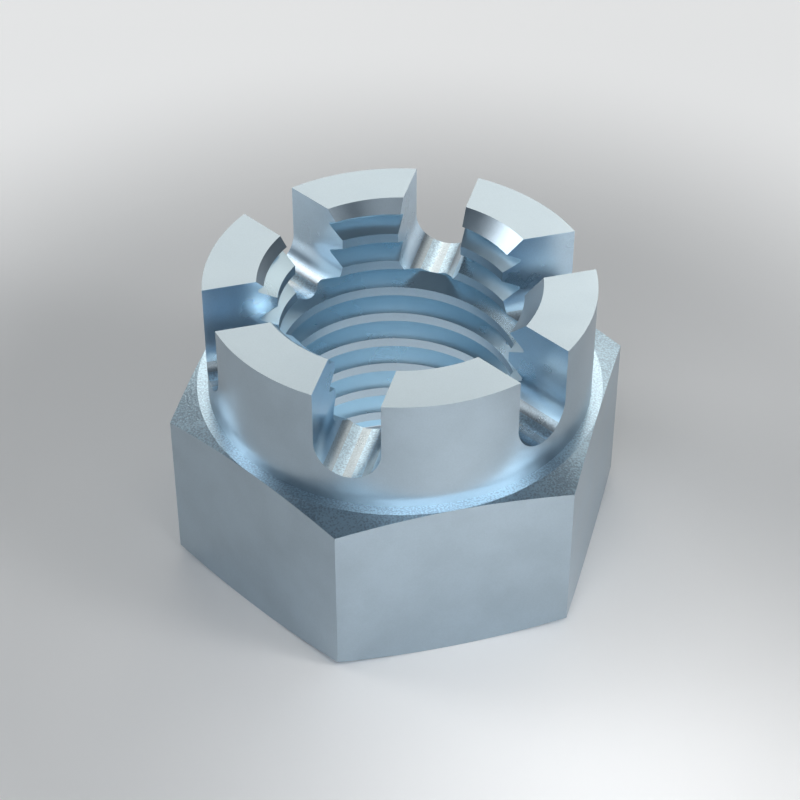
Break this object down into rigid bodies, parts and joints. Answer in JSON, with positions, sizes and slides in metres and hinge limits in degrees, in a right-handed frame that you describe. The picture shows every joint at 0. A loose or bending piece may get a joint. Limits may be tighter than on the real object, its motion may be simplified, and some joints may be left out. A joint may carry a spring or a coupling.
{
  "type": "castle nut",
  "caption": "Hexagonal castle nut with a slotted crown for a split pin, a threaded bore countersunk at both ends, and a chamfered hexagon.",
  "frame": {"origin": "centre of the bearing face, on the thread's axis", "axes": "+Z along the thread's axis from the bearing face to the crown, +X through a corner of the hexagon and the slot above it, +Y square to a flat"},
  "size_m": [0.0416, 0.036, 0.027],
  "materials": {
    "zinc_plate": "steel, zinc plated and blue passivated, smooth and bright"
  },
  "bodies": {
    "root": {"castle_nut": "zinc_plate"}
  },
  "joints": []
}
